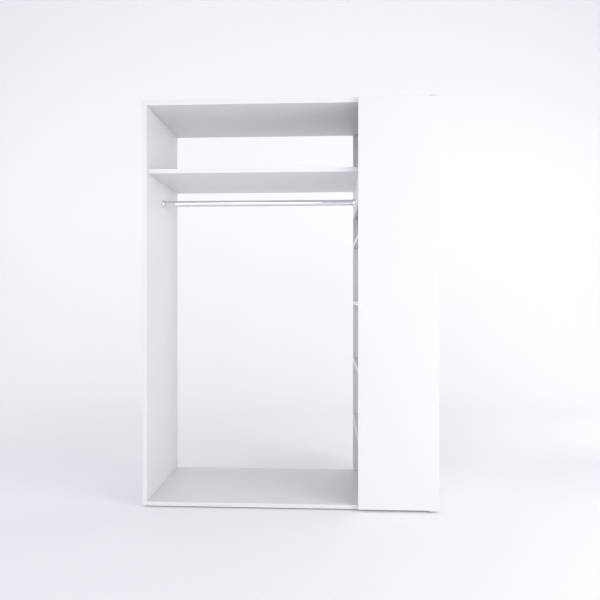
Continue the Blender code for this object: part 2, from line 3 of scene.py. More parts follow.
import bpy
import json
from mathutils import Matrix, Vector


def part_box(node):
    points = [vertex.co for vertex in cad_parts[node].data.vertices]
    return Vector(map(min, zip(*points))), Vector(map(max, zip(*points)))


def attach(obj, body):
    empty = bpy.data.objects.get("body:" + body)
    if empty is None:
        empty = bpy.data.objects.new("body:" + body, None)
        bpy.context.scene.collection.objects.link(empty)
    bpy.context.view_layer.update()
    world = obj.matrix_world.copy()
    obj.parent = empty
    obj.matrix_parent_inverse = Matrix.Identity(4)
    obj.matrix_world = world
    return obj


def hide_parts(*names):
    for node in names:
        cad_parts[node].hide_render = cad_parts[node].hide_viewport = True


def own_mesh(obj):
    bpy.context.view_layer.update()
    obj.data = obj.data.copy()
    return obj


bl_info = {
    "name": "Open wardrobe",
    "version": (1, 0, 0),
    "blender": (4, 5, 0),
    "location": "View3D > Sidebar > Wardrobe",
    "description": "Builds the finished boards, rail, door fittings and stage of an open wardrobe",
    "category": "Add Mesh",
}

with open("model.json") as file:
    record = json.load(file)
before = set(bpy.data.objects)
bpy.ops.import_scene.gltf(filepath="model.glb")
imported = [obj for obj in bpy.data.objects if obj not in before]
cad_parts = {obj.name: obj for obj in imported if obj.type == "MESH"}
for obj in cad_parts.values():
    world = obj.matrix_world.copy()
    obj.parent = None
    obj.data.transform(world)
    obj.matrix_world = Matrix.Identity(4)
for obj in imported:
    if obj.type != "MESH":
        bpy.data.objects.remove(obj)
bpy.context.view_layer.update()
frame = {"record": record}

import json
import math
from contextlib import contextmanager

import bmesh
import bpy
from mathutils import Matrix, Vector

UP = Vector((0, 0, 1))
DOWN = Vector((0, 0, -1))
LEFT = Vector((-1, 0, 0))
RIGHT = Vector((1, 0, 0))
FORWARD = Vector((0, -1, 0))
REARWARD = Vector((0, 1, 0))

BOARDS = (
    "left_side_panel",
    "right_side_panel",
    "top_panel",
    "bottom_panel",
    "top_shelf",
    "column_back_lower",
    "column_back_upper",
    "column_shelf_1",
    "column_shelf_2",
    "column_shelf_3",
    "column_shelf_4",
    "rail_support_board",
)
DOOR = "door_panel"
ENDS = {"upper": UP, "lower": DOWN}
SIDES = {"left": LEFT, "right": RIGHT}
ROWS = ("front", "rear")
LEVELS = {"top": "top_panel", "shelf": "top_shelf", "bottom": "bottom_panel"}
COLUMNS = {"left": "left_side_panel", "middle": "bottom_panel", "right": "right_side_panel"}

GAP = 0.0003
PAST = 0.004
TINY = 0.000001
PARALLEL = 0.999
NOISE_SPAN = (0.3, 0.7)
SHADER = "Principled BSDF"
SMOOTH_ANGLE = math.radians(35)
SHARP_ANGLE = math.radians(40)


# ------------------------------------------------------------------ settings
def length(name, description, default):
    return bpy.props.FloatProperty(
        name=name, description=description, default=default, min=0.0, unit="LENGTH", precision=5
    )


def colour(name, description, default):
    return bpy.props.FloatVectorProperty(
        name=name, description=description, default=default, size=3, min=0.0, max=1.0, subtype="COLOR"
    )


def power(name, description, default):
    return bpy.props.FloatProperty(name=name, description=description, default=default, unit="POWER")


class BoardSettings(bpy.types.PropertyGroup):
    """Sizes and colours of the edge-banded boards."""

    edge_radius: length("Edge radius", "Rounding of the boards' edges", 0.0011)
    band: length("Edge band", "Thickness of the edge band, seen on a board's face", 0.0014)
    joint_width: length("Joint width", "Width of the fine joint beside the edge band", 0.00022)
    joint_depth: length("Joint depth", "Depth of the fine joint beside the edge band", 0.00012)
    face_colour: colour("Face colour", "Colour of the boards' faces", (0.780, 0.782, 0.790))
    band_colour: colour("Band colour", "Colour of the edge bands", (0.780, 0.783, 0.792))


class MetalSettings(bpy.types.PropertyGroup):
    """Colours of the bright and the plated metal."""

    chrome_colour: colour("Chrome", "Colour of the rail and its sockets", (0.86, 0.87, 0.885))
    zinc_colour: colour("Zinc", "Colour of plates and screws", (0.66, 0.675, 0.70))
    coat_colour: colour("Bracket coating", "Colour of the coated pivot brackets", (0.80, 0.81, 0.83))
    thread_depth: length("Thread depth", "Depth of the screw threads", 0.0005)


class PlasticSettings(bpy.types.PropertyGroup):
    """Colours of the moulded pieces."""

    nylon_colour: colour("Nylon", "Colour of the bushes and plungers", (0.80, 0.81, 0.82))
    grey_colour: colour("Grey plastic", "Colour of the latch sleeves and glides", (0.40, 0.41, 0.43))
    rubber_colour: colour("Buffers", "Colour of the plungers' soft tips", (0.055, 0.057, 0.06))


class StageSettings(bpy.types.PropertyGroup):
    """Floor, light and camera."""

    backdrop_colour: colour("Backdrop", "Colour of the floor and the wall behind", (0.982, 0.984, 0.985))
    horizon_colour: colour("Room light", "Colour of the light from around the room", (0.882, 0.915, 0.983))
    zenith_colour: colour("Ceiling light", "Colour of the light from straight above", (0.655, 0.665, 0.745))
    sky_strength: bpy.props.FloatProperty(
        name="Room light strength", description="Strength of the light from the whole room", default=0.795
    )
    side_power: power("Side light", "Power of the soft light at the right", 80.0)
    corner_power: power("Corner light", "Power of the small light at the front right", 16.0)
    left_power: power("Left light", "Power of the soft light at the left", 26.0)
    front_power: power("Front light", "Power of the large soft light in front", 53.0)
    wall_power: power("Wall light", "Power of the right wall light; the others take shares of it", 15.0)
    lens: bpy.props.FloatProperty(
        name="Lens", description="Focal length of the camera in millimetres", default=35.65
    )


# ------------------------------------------------------------------ frame helpers
def body_of(node):
    """The body that a node of the frame rides on."""
    for body, members in frame["record"]["behaviour"]["bodies"].items():
        if node in members:
            return body
    raise ValueError(f"no body holds {node}")


def middle(node):
    """Middle of a node's box."""
    low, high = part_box(node)
    return (low + high) / 2


def face_point(node, direction):
    """Middle of the side of a node's box that faces direction."""
    low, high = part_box(node)
    half = (high - low) / 2
    reach = sum(abs(direction[axis]) * half[axis] for axis in range(3))
    return (low + high) / 2 + Vector(direction) * reach


def finish(piece, *materials):
    """Gives a piece its materials, for its faces to choose from by their order."""
    for material in materials:
        piece.data.materials.append(material)


def stand_in(piece, node, *materials):
    """Puts a finished piece in a node's place, with materials if it has none yet."""
    if not piece.data.materials:
        finish(piece, *materials)
    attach(piece, body_of(node))
    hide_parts(node)
    return piece


# ------------------------------------------------------------------ modelling helpers
def select_only(*pieces):
    for other in bpy.context.selected_objects:
        other.select_set(False)
    for piece in pieces:
        piece.select_set(True)
        bpy.context.view_layer.objects.active = piece


@contextmanager
def editing(piece):
    """Edit mode on one piece, with nothing selected in it."""
    select_only(piece)
    bpy.ops.object.mode_set(mode="EDIT")
    bpy.ops.mesh.select_mode(type="FACE")
    bpy.ops.mesh.select_all(action="DESELECT")
    yield
    bpy.ops.object.mode_set(mode="OBJECT")


def pick_faces(piece, wanted):
    """Selects the faces for which wanted is true, and no others."""
    shape = bmesh.from_edit_mesh(piece.data)
    bpy.ops.mesh.select_mode(type="FACE")
    for face in shape.faces:
        face.select_set(bool(wanted(face)))
    bmesh.update_edit_mesh(piece.data)


def pick_edges(piece, wanted):
    """Selects the edges for which wanted is true, and no others."""
    shape = bmesh.from_edit_mesh(piece.data)
    bpy.ops.mesh.select_mode(type="EDGE")
    bpy.ops.mesh.select_all(action="DESELECT")
    for edge in shape.edges:
        if wanted(edge):
            edge.select_set(True)
    bmesh.update_edit_mesh(piece.data)


def block(name, low, high):
    """A box between two corners, with its origin at the world's."""
    select_only()
    size = Vector(high) - Vector(low)
    bpy.ops.mesh.primitive_cube_add(size=1, location=(Vector(high) + Vector(low)) / 2)
    piece = bpy.context.object
    piece.name = name
    piece.scale = size
    bpy.ops.object.transform_apply(location=True, rotation=True, scale=True)
    return piece


def apply_modifiers(piece):
    select_only(piece)
    for modifier in list(piece.modifiers):
        bpy.ops.object.modifier_apply(modifier=modifier.name)


def round_edges(piece, width, segments=2, angle=40):
    """Rounds the edges that are sharper than an angle in degrees."""
    modifier = piece.modifiers.new("rounding", "BEVEL")
    modifier.width = width
    modifier.segments = segments
    modifier.limit_method = "ANGLE"
    modifier.angle_limit = math.radians(angle)
    apply_modifiers(piece)


def smooth(piece):
    """Shades round surfaces smooth and keeps the sharp edges."""
    select_only(piece)
    bpy.ops.object.shade_smooth_by_angle(angle=SMOOTH_ANGLE)


def turned(name, outline, sides, hollow=False):
    """A round piece about Z: a ring of edges is drawn along an outline of (radius, height)."""
    select_only()
    radius, height = outline[0]
    bpy.ops.mesh.primitive_circle_add(vertices=sides, radius=radius, location=(0, 0, 0))
    piece = bpy.context.object
    piece.name = name
    bpy.ops.object.mode_set(mode="EDIT")
    bpy.ops.mesh.select_mode(type="VERT")
    bpy.ops.mesh.select_all(action="SELECT")
    if not hollow:
        bpy.ops.mesh.edge_face_add()
        bpy.ops.mesh.select_all(action="SELECT")
    bpy.ops.transform.translate(value=(0, 0, height))
    last = (radius, height)
    for radius, height in outline[1:]:
        rise = (0, 0, height - last[1])
        if hollow:
            bpy.ops.mesh.extrude_edges_move(TRANSFORM_OT_translate={"value": rise})
        else:
            bpy.ops.mesh.extrude_region_move(TRANSFORM_OT_translate={"value": rise})
        radius = max(radius, TINY)
        scale = radius / last[0]
        bpy.ops.transform.resize(value=(scale, scale, 1), center_override=(0, 0, height))
        last = (radius, height)
    bpy.ops.mesh.select_all(action="SELECT")
    if hollow:
        bpy.ops.mesh.remove_doubles(threshold=TINY)
    bpy.ops.mesh.normals_make_consistent(inside=False)
    bpy.ops.object.mode_set(mode="OBJECT")
    return piece


def facing(point, direction):
    """The frame whose +Z points along direction from a point."""
    turn = UP.rotation_difference(Vector(direction)).to_matrix().to_4x4()
    return Matrix.Translation(point) @ turn


def copy_to(model, name, place):
    """A copy of a model with its own mesh, moved there in its mesh."""
    mesh = model.data.copy()
    mesh.transform(place)
    copy = bpy.data.objects.new(name, mesh)
    bpy.context.scene.collection.objects.link(copy)
    return copy


def remove(*pieces):
    for piece in pieces:
        bpy.data.objects.remove(piece, do_unlink=True)


def moved(model, name, place):
    """A copy of a model that is needed only once, so the model is removed."""
    piece = copy_to(model, name, place)
    remove(model)
    return piece


def combine(piece, other, operation):
    """Cuts another piece out of this one or joins it on, and removes the other."""
    modifier = piece.modifiers.new("boolean", "BOOLEAN")
    modifier.operation = operation
    modifier.solver = "EXACT"
    modifier.object = other
    apply_modifiers(piece)
    remove(other)


def joined(name, pieces):
    """Several pieces made one object."""
    select_only(*pieces)
    if len(pieces) > 1:
        bpy.ops.object.join()
    piece = bpy.context.view_layer.objects.active
    piece.name = name
    return piece


# ------------------------------------------------------------------ materials
def new_material(name, base, roughness, metallic=0.0):
    """A material with its shader and the piece's own coordinates."""
    material = bpy.data.materials.new(name)
    material.use_nodes = True
    nodes = material.node_tree.nodes
    shader = nodes[SHADER]
    shader.inputs["Base Color"].default_value = (*base, 1.0)
    shader.inputs["Roughness"].default_value = roughness
    shader.inputs["Metallic"].default_value = metallic
    nodes.new("ShaderNodeTexCoord").name = "place"
    return material


def noise(material, scale, detail):
    """Noise at so many features a metre."""
    nodes = material.node_tree.nodes
    texture = nodes.new("ShaderNodeTexNoise")
    texture.inputs["Scale"].default_value = scale
    texture.inputs["Detail"].default_value = detail
    place = nodes["place"].outputs["Object"]
    material.node_tree.links.new(place, texture.inputs["Vector"])
    return texture.outputs["Fac"]


def vary_colour(material, scale, darkest, detail=3.0):
    """Lets noise move the colour between its own tone and a darker share of it."""
    factor = noise(material, scale, detail)
    nodes = material.node_tree.nodes
    links = material.node_tree.links
    base = nodes[SHADER].inputs["Base Color"]
    light = tuple(base.default_value)[:3]
    dark = tuple(channel * darkest for channel in light)
    ramp = nodes.new("ShaderNodeValToRGB")
    for index, tone in enumerate((dark, light)):
        ramp.color_ramp.elements[index].position = NOISE_SPAN[index]
        ramp.color_ramp.elements[index].color = (*tone, 1.0)
    links.new(factor, ramp.inputs["Fac"])
    links.new(ramp.outputs["Color"], base)


def vary_roughness(material, scale, low, high, detail=3.0):
    """Lets noise move the roughness between two values."""
    factor = noise(material, scale, detail)
    nodes = material.node_tree.nodes
    links = material.node_tree.links
    spread = nodes.new("ShaderNodeMapRange")
    spread.inputs["From Min"].default_value = NOISE_SPAN[0]
    spread.inputs["From Max"].default_value = NOISE_SPAN[1]
    spread.inputs["To Min"].default_value = low
    spread.inputs["To Max"].default_value = high
    links.new(factor, spread.inputs["Value"])
    links.new(spread.outputs["Result"], nodes[SHADER].inputs["Roughness"])


def add_bump(material, scale, strength, depth, detail):
    """A fine texture in the surface."""
    factor = noise(material, scale, detail)
    nodes = material.node_tree.nodes
    links = material.node_tree.links
    bump = nodes.new("ShaderNodeBump")
    bump.inputs["Strength"].default_value = strength
    bump.inputs["Distance"].default_value = depth
    links.new(factor, bump.inputs["Height"])
    links.new(bump.outputs["Normal"], nodes[SHADER].inputs["Normal"])


def board_face_material(settings):
    """White melamine with a faint pearl texture."""
    material = new_material("white_melamine", settings.face_colour, 0.42)
    vary_colour(material, 2.2, 0.988)
    vary_roughness(material, 38.0, 0.38, 0.46)
    add_bump(material, 1100.0, 0.16, 0.00006, detail=2.0)
    return material


def board_band_material(settings):
    """White edge band, a little smoother than the faces."""
    material = new_material("white_edge_band", settings.band_colour, 0.34)
    vary_colour(material, 5.0, 0.985)
    vary_roughness(material, 90.0, 0.30, 0.38)
    add_bump(material, 1900.0, 0.10, 0.00004, detail=1.0)
    return material


def chrome_material(settings):
    """Bright chrome with the faint haze of handling."""
    material = new_material("bright_chrome", settings.chrome_colour, 0.07, 1.0)
    vary_colour(material, 9.0, 0.97)
    vary_roughness(material, 30.0, 0.045, 0.10, detail=5.0)
    add_bump(material, 60.0, 0.03, 0.0002, detail=2.0)
    return material


def zinc_material(settings):
    """Zinc plating with its mottled grain and fine marks."""
    material = new_material("zinc_plate", settings.zinc_colour, 0.34, 1.0)
    vary_colour(material, 420.0, 0.86, detail=6.0)
    vary_roughness(material, 260.0, 0.26, 0.44, detail=4.0)
    add_bump(material, 1500.0, 0.12, 0.00005, detail=3.0)
    return material


def coat_material(settings):
    """White powder coat with its faint orange peel."""
    material = new_material("white_coat", settings.coat_colour, 0.38)
    vary_colour(material, 90.0, 0.98)
    vary_roughness(material, 300.0, 0.33, 0.44)
    add_bump(material, 1300.0, 0.15, 0.00006, detail=2.0)
    return material


def nylon_material(settings):
    """Moulded white nylon."""
    material = new_material("white_nylon", settings.nylon_colour, 0.46)
    vary_colour(material, 150.0, 0.97)
    vary_roughness(material, 400.0, 0.40, 0.52)
    add_bump(material, 3000.0, 0.10, 0.00004, detail=2.0)
    return material


def grey_plastic_material(settings):
    """Moulded grey plastic with a fine spark texture."""
    material = new_material("grey_plastic", settings.grey_colour, 0.50)
    vary_colour(material, 180.0, 0.93)
    vary_roughness(material, 500.0, 0.44, 0.58)
    add_bump(material, 2600.0, 0.22, 0.00006, detail=3.0)
    return material


def rubber_material(settings):
    """Dark soft buffer at a plunger's tip."""
    material = new_material("dark_buffer", settings.rubber_colour, 0.7)
    vary_colour(material, 300.0, 0.8)
    vary_roughness(material, 700.0, 0.62, 0.78)
    return material


def backdrop_material(settings):
    """Plain matt paper, the same on the floor and the wall."""
    material = new_material("studio_paper", settings.backdrop_colour, 0.9)
    material.node_tree.nodes[SHADER].inputs["Specular IOR Level"].default_value = 0.1
    return material


FINISHES = {
    "face": ("white_melamine", board_face_material, "wardrobe_boards"),
    "band": ("white_edge_band", board_band_material, "wardrobe_boards"),
    "chrome": ("bright_chrome", chrome_material, "wardrobe_metal"),
    "zinc": ("zinc_plate", zinc_material, "wardrobe_metal"),
    "coat": ("white_coat", coat_material, "wardrobe_metal"),
    "nylon": ("white_nylon", nylon_material, "wardrobe_plastic"),
    "grey": ("grey_plastic", grey_plastic_material, "wardrobe_plastic"),
    "rubber": ("dark_buffer", rubber_material, "wardrobe_plastic"),
    "paper": ("studio_paper", backdrop_material, "wardrobe_stage"),
}


def get_material(key):
    """Each finish is made once, when a piece first needs it."""
    name, make, group = FINISHES[key]
    return bpy.data.materials.get(name) or make(getattr(bpy.context.scene, group))


# ------------------------------------------------------------------ boards
def banded_board(node, settings):
    """A board with rounded edges and a fine joint where the edge band meets its faces."""
    low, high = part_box(node)
    size = high - low
    thin = min(range(3), key=lambda axis: size[axis])
    piece = block(f"finished_{node}", low, high)
    finish(piece, get_material("face"), get_material("band"))
    with editing(piece):
        bpy.ops.mesh.select_all(action="SELECT")
        bpy.ops.mesh.bevel(offset=settings.edge_radius, segments=3, profile=0.5, affect="EDGES")
        band_faces(piece, settings, thin)
    return piece


def rounded_door(settings):
    """The door: a banded board with its rear hinge corner rounded about the pivot axis."""
    low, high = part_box(DOOR)
    piece = block(f"finished_{DOOR}", low, high)
    finish(piece, get_material("face"), get_material("band"))
    heel = (high.y - low.y) / 2
    near = 0.001
    with editing(piece):
        pick_edges(
            piece,
            lambda edge: all(v.co.x > high.x - near and v.co.y > high.y - near for v in edge.verts),
        )
        bpy.ops.mesh.bevel(offset=heel, segments=12, profile=0.5, affect="EDGES")
        pick_edges(piece, lambda edge: edge.calc_face_angle() > SHARP_ANGLE)
        bpy.ops.mesh.bevel(offset=settings.edge_radius, segments=3, profile=0.5, affect="EDGES")
        band_faces(piece, settings, 1)
    return piece


def band_faces(piece, settings, thin):
    """Sets the fine joint of the edge band into the two wide faces of a board in edit mode."""
    shape = bmesh.from_edit_mesh(piece.data)
    widest = max(face.calc_area() for face in shape.faces)
    pick_faces(
        piece, lambda face: abs(face.normal[thin]) > PARALLEL and face.calc_area() > widest / 2
    )
    bpy.ops.mesh.inset(thickness=max(settings.band - settings.edge_radius, 0.0001))
    bpy.ops.mesh.inset(thickness=settings.joint_width / 2, depth=-settings.joint_depth)
    bpy.ops.mesh.inset(thickness=settings.joint_width / 2, depth=settings.joint_depth)
    shape = bmesh.from_edit_mesh(piece.data)
    for face in shape.faces:
        face.material_index = 0 if face.select else 1
    bmesh.update_edit_mesh(piece.data)


def drill(piece, node):
    """Cuts into a board all the holes that its fittings need."""
    cutters = [make() for boards, make in drillings() if node in boards]
    recesses = [cutter for cutter in cutters if cutter.name.startswith("recess")]
    holes = [cutter for cutter in cutters if cutter.name.startswith("hole")]
    for group in (recesses, holes):
        if group:
            combine(piece, joined(f"cutter_{node}", group), "DIFFERENCE")


def drillings():
    """Each hole: the boards that it goes through, and a function that makes its cutter."""
    found = []
    for side in SIDES:
        for row in ROWS:
            for level, board in LEVELS.items():
                screw = f"{level}_connector_{side}_{row}"
                found.append(((board, f"{side}_side_panel"), lambda name=screw: connector_hole(name)))
    for side, board in (("left", "left_side_panel"), ("right", "rail_support_board")):
        for level in ("upper", "lower"):
            screw = f"rail_screw_{side}_{level}"
            found.append(((board,), lambda name=screw: screw_hole(name)))
    leaf_boards = {"upper": ("top_panel",), "lower": ("bottom_panel", "right_side_panel")}
    for end, boards in leaf_boards.items():
        found.append((boards, lambda name=end: leaf_recess(f"{name}_pivot_plate")))
        found.append(((DOOR,), lambda name=end: plate_recess(f"{name}_door_pivot")))
        for number in (1, 2):
            found.append((boards[:1], lambda name=f"{end}_plate_screw_{number}": screw_hole(name)))
            found.append(((DOOR,), lambda name=f"{end}_door_screw_{number}": screw_hole(name)))
    for end, board in (("lower", "column_shelf_2"), ("upper", "column_shelf_4")):
        found.append(((board,), lambda name=end: sleeve_hole(name)))
    for column, board in COLUMNS.items():
        for row in ROWS:
            found.append(((board,), lambda name=f"glide_{column}_{row}": nail_hole(name)))
    return found


# ------------------------------------------------------------------ screws
def connector_direction(node):
    """Outward direction of a carcass connector screw."""
    if node.startswith("top"):
        return UP
    return LEFT if "_left_" in node else RIGHT


def small_screw_direction(node):
    """Outward direction of a small countersunk screw."""
    if node.startswith("rail_screw_left"):
        return RIGHT
    if node.startswith("rail_screw_right"):
        return LEFT
    return FORWARD if "_plate_screw_" in node else ENDS[node.split("_")[0]]


def thread(outer, start, end, pitch, depth):
    """Outline points of a threaded stretch running down from start to end."""
    turns = int((start - end) / pitch)
    points = []
    for turn in range(turns):
        crest = start - turn * pitch
        points.append((outer - depth, crest))
        points.append((outer - depth, crest - 0.40 * pitch))
        points.append((outer, crest - 0.62 * pitch))
        points.append((outer, crest - 0.74 * pitch))
    return points


CONNECTOR = {"head": 0.005, "shank": 0.003, "length": 0.050, "rim": 0.001, "plain": 0.009, "room": 0.003}
KEY = {"radius": 0.0023, "depth": 0.0032}
SCREW = {"head": 0.0033, "shank": 0.0016, "length": 0.016, "room": 0.002}
CROSS = {"reach": 0.0019, "half": 0.0004, "depth": 0.0016}


def connector_outline(depth):
    """Outline of a connector screw, from its head's face down."""
    head = CONNECTOR["head"]
    shank = CONNECTOR["shank"]
    rim = -CONNECTOR["rim"]
    cone_end = rim - (head - shank)
    start = cone_end - CONNECTOR["plain"]
    tip = -CONNECTOR["length"]
    edge = 0.0002
    points = [(head - edge, 0), (head, -edge), (head, rim), (shank, cone_end), (shank, start)]
    pitch = 0.003
    points += thread(shank, start - 0.0005, tip + 0.005, pitch, depth)
    points += [(shank - depth, tip + 0.003), (0.0008, tip)]
    return points


def connector_model(settings):
    """Connector screw with a six-sided key socket and a coarse thread."""
    screw = turned("connector_model", connector_outline(settings.thread_depth), 32)
    bpy.ops.mesh.primitive_cylinder_add(vertices=6, radius=KEY["radius"], depth=2 * KEY["depth"])
    combine(screw, bpy.context.object, "DIFFERENCE")
    round_edges(screw, 0.00012, 1, 50)
    smooth(screw)
    return screw


def screw_model(settings):
    """Small countersunk screw with a cross recess."""
    head = SCREW["head"]
    shank = SCREW["shank"]
    tip = -SCREW["length"]
    cone_end = -(head - shank)
    outline = [(head - 0.0001, 0), (head, -0.0001), (shank, cone_end), (shank, cone_end - 0.002)]
    pitch = 0.0014
    outline += thread(shank, cone_end - 0.0022, tip + 0.003, pitch, settings.thread_depth * 0.7)
    outline += [(shank * 0.7, tip + 0.0022), (0.0003, tip)]
    screw = turned("screw_model", outline, 32)
    for wide, deep in ((CROSS["reach"], CROSS["half"]), (CROSS["half"], CROSS["reach"])):
        arm = block("arm", (-wide, -deep, -CROSS["depth"]), (wide, deep, 0.001))
        combine(screw, arm, "DIFFERENCE")
    smooth(screw)
    return screw


def drive(model, node, out):
    """Puts a copy of a screw's model in a node's place, its head facing out."""
    screw = copy_to(model, f"finished_{node}", facing(face_point(node, out), out))
    stand_in(screw, node, get_material("zinc"))


def connector_hole(node):
    """Cutter for a connector screw: a countersink with a plain bore below it."""
    out = connector_direction(node)
    head = CONNECTOR["head"] + GAP
    shank = CONNECTOR["shank"] + GAP
    rim = -CONNECTOR["rim"]
    cone_end = rim - (CONNECTOR["head"] - CONNECTOR["shank"])
    tip = -CONNECTOR["length"] - GAP
    outline = [(head, CONNECTOR["room"]), (head, rim), (shank, cone_end), (shank, tip)]
    model = turned("hole_model", outline, 32)
    return moved(model, f"hole_{node}", facing(face_point(node, out), out))


def screw_hole(node):
    """Cutter for a small screw's shank."""
    out = small_screw_direction(node)
    head = SCREW["head"] + GAP
    shank = SCREW["shank"] + GAP
    tip = -SCREW["length"] - GAP
    outline = [(head, SCREW["room"]), (head, 0), (shank, shank - head), (shank, tip)]
    model = turned("hole_model", outline, 20)
    return moved(model, f"hole_{node}", facing(face_point(node, out), out))


# ------------------------------------------------------------------ fittings
DOOR_ENDS = {"upper_door_pivot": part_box(DOOR)[1].z, "lower_door_pivot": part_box(DOOR)[0].z}
CARCASS_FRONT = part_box("top_panel")[0].y
BRACKET_STEEL = 0.003
DOOR_PLATE = 0.002
PLATE_CORNER = 0.003
PIN_RADIUS = 0.003
BUSH = {"flange": 0.0065, "flange_thickness": 0.001, "outer": 0.0045, "bore": 0.0033}
SLEEVE = {"flange": 0.0065, "flange_thickness": 0.001, "outer": 0.005, "bore": 0.0034, "end_wall": 0.002}
RIB = {"count": 8, "root": 0.0046, "crown": 0.00525, "half": 0.0004, "setback": 0.004}
NAIL_RADIUS = 0.00125


def along(edge, axis):
    """Whether an edge runs along one of the axes 0, 1 or 2."""
    return abs((edge.verts[0].co - edge.verts[1].co).normalized()[axis]) > PARALLEL


def plate_recess(node):
    """Cutter for a plate let into the door's end."""
    low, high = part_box(node)
    outwards = ENDS[node.split("_")[0]]
    surface = DOOR_ENDS[node]
    edge = surface - outwards.z * (DOOR_PLATE + GAP)
    other = surface + outwards.z * PAST
    corner_low = (low.x - GAP, low.y - GAP, min(edge, other))
    corner_high = (high.x + GAP, high.y + GAP, max(edge, other))
    recess = block(f"recess_{node}", corner_low, corner_high)
    round_upright_edges(recess, PLATE_CORNER + GAP)
    return recess


def leaf_recess(node):
    """Cutter for a bracket's leaf in the front edges of the carcass."""
    low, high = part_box(node)
    outwards = ENDS[node.split("_")[0]]
    past = outwards * PAST
    corner_low = Vector((low.x - GAP, CARCASS_FRONT - PAST, low.z - GAP))
    corner_high = Vector((high.x + GAP, CARCASS_FRONT + BRACKET_STEEL + GAP, high.z + GAP))
    if outwards.z > 0:
        corner_high += past
    else:
        corner_low += past
    return block(f"recess_{node}", corner_low, corner_high)


def round_upright_edges(piece, radius):
    """Rounds a plate's four upright corners."""
    with editing(piece):
        pick_edges(piece, lambda edge: along(edge, 2))
        bpy.ops.mesh.bevel(offset=radius, segments=6, profile=0.5, affect="EDGES")


def round_cutter(name, spot, radius, depth, sides):
    """An upright round cutter about a spot."""
    bpy.ops.mesh.primitive_cylinder_add(vertices=sides, radius=radius, depth=depth, location=spot)
    cutter = bpy.context.object
    cutter.name = name
    bpy.ops.object.transform_apply(location=True, rotation=True, scale=True)
    return cutter


def bush_hole(end):
    """Cutter for a bush, through a bracket's arm."""
    through = 0.02
    spot = middle(f"{end}_pivot_bush")
    return round_cutter(f"hole_bush_{end}", spot, BUSH["outer"] + GAP, through, 40)


def bracket_piece(node):
    """Angle bracket of flat steel: an arm past the door's end and a leaf in the carcass front."""
    low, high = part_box(node)
    end = node.split("_")[0]
    outwards = ENDS[end]
    outer = high.z if outwards.z > 0 else low.z
    inner = outer - outwards.z * BRACKET_STEEL
    far = low.z if outwards.z > 0 else high.z
    leaf_back = CARCASS_FRONT + BRACKET_STEEL
    near = 0.0001
    piece = block(
        f"finished_{node}", (low.x, low.y, min(outer, inner)), (high.x, leaf_back, max(outer, inner))
    )

    def under_leaf(face):
        return face.normal.dot(outwards) < -0.9 and face.calc_center_median().y > CARCASS_FRONT

    def at_nose(edge):
        return along(edge, 2) and edge.verts[0].co.y < low.y + near

    def at_leaf_end(edge):
        return along(edge, 1) and abs(edge.verts[0].co.z - far) < near

    def at_bend(edge):
        spots = [vertex.co for vertex in edge.verts]
        return along(edge, 0) and all(c.y > leaf_back - near and abs(c.z - outer) < near for c in spots)

    with editing(piece):
        bpy.ops.mesh.select_all(action="SELECT")
        bpy.ops.mesh.bisect(plane_co=(0, CARCASS_FRONT, 0), plane_no=(0, 1, 0))
        pick_faces(piece, under_leaf)
        bpy.ops.mesh.extrude_region_move(TRANSFORM_OT_translate={"value": (0, 0, far - inner)})
        for wanted, radius, steps in ((at_nose, 0.004, 6), (at_leaf_end, 0.002, 5), (at_bend, 0.002, 5)):
            pick_edges(piece, wanted)
            bpy.ops.mesh.bevel(offset=radius, segments=steps, profile=0.5, affect="EDGES")
    for number in (1, 2):
        combine(piece, screw_hole(f"{end}_plate_screw_{number}"), "DIFFERENCE")
    combine(piece, bush_hole(end), "DIFFERENCE")
    round_edges(piece, 0.0002, 2, 50)
    smooth(piece)
    return piece


def door_plate_piece(node):
    """Plate with rounded corners and countersunk holes, its pin standing on it."""
    low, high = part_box(node)
    end = node.split("_")[0]
    outwards = ENDS[end]
    surface = DOOR_ENDS[node]
    back = surface - outwards.z * DOOR_PLATE
    corner_low = (low.x, low.y, min(surface, back))
    corner_high = (high.x, high.y, max(surface, back))
    piece = block(f"finished_{node}", corner_low, corner_high)
    round_upright_edges(piece, PLATE_CORNER)
    for number in (1, 2):
        combine(piece, screw_hole(f"{end}_door_screw_{number}"), "DIFFERENCE")
    axis = middle(f"{end}_pivot_bush")
    height = abs(face_point(node, outwards).z - back)
    outline = [(PIN_RADIUS, 0), (PIN_RADIUS, height - 0.0006), (PIN_RADIUS - 0.0005, height)]
    model = turned("pin_model", outline, 40)
    pin = moved(model, "pin", facing((axis.x, axis.y, back), outwards))
    combine(piece, pin, "UNION")
    round_edges(piece, 0.00018, 2, 50)
    smooth(piece)
    return piece


def bush_model(node):
    """Flanged nylon bush, its flange towards the door."""
    low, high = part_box(node)
    tall = high.z - low.z
    flange = BUSH["flange"]
    step = tall - BUSH["flange_thickness"]
    outer = BUSH["outer"]
    bore = BUSH["bore"]
    edge = 0.0003
    mouth = 0.0002
    outline = [
        (bore + mouth, tall),
        (flange - edge, tall),
        (flange, tall - edge),
        (flange, step),
        (outer, step),
        (outer, edge),
        (outer - edge, 0),
        (bore + mouth, 0),
        (bore, mouth),
        (bore, tall - mouth),
        (bore + mouth, tall),
    ]
    return turned("bush_model", outline, 48, hollow=True)


def sleeve_hole(end):
    """Cutter for a latch sleeve in the front edge of a shelf."""
    low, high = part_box(f"{end}_latch_sleeve")
    axis = middle(f"{end}_latch_sleeve")
    depth = high.y - low.y + PAST
    bpy.ops.mesh.primitive_cylinder_add(vertices=48, radius=SLEEVE["outer"] + GAP, depth=depth)
    model = bpy.context.object
    start = Vector((axis.x, low.y - PAST + GAP, axis.z))
    return moved(model, f"hole_sleeve_{end}", facing(start + REARWARD * depth / 2, REARWARD))


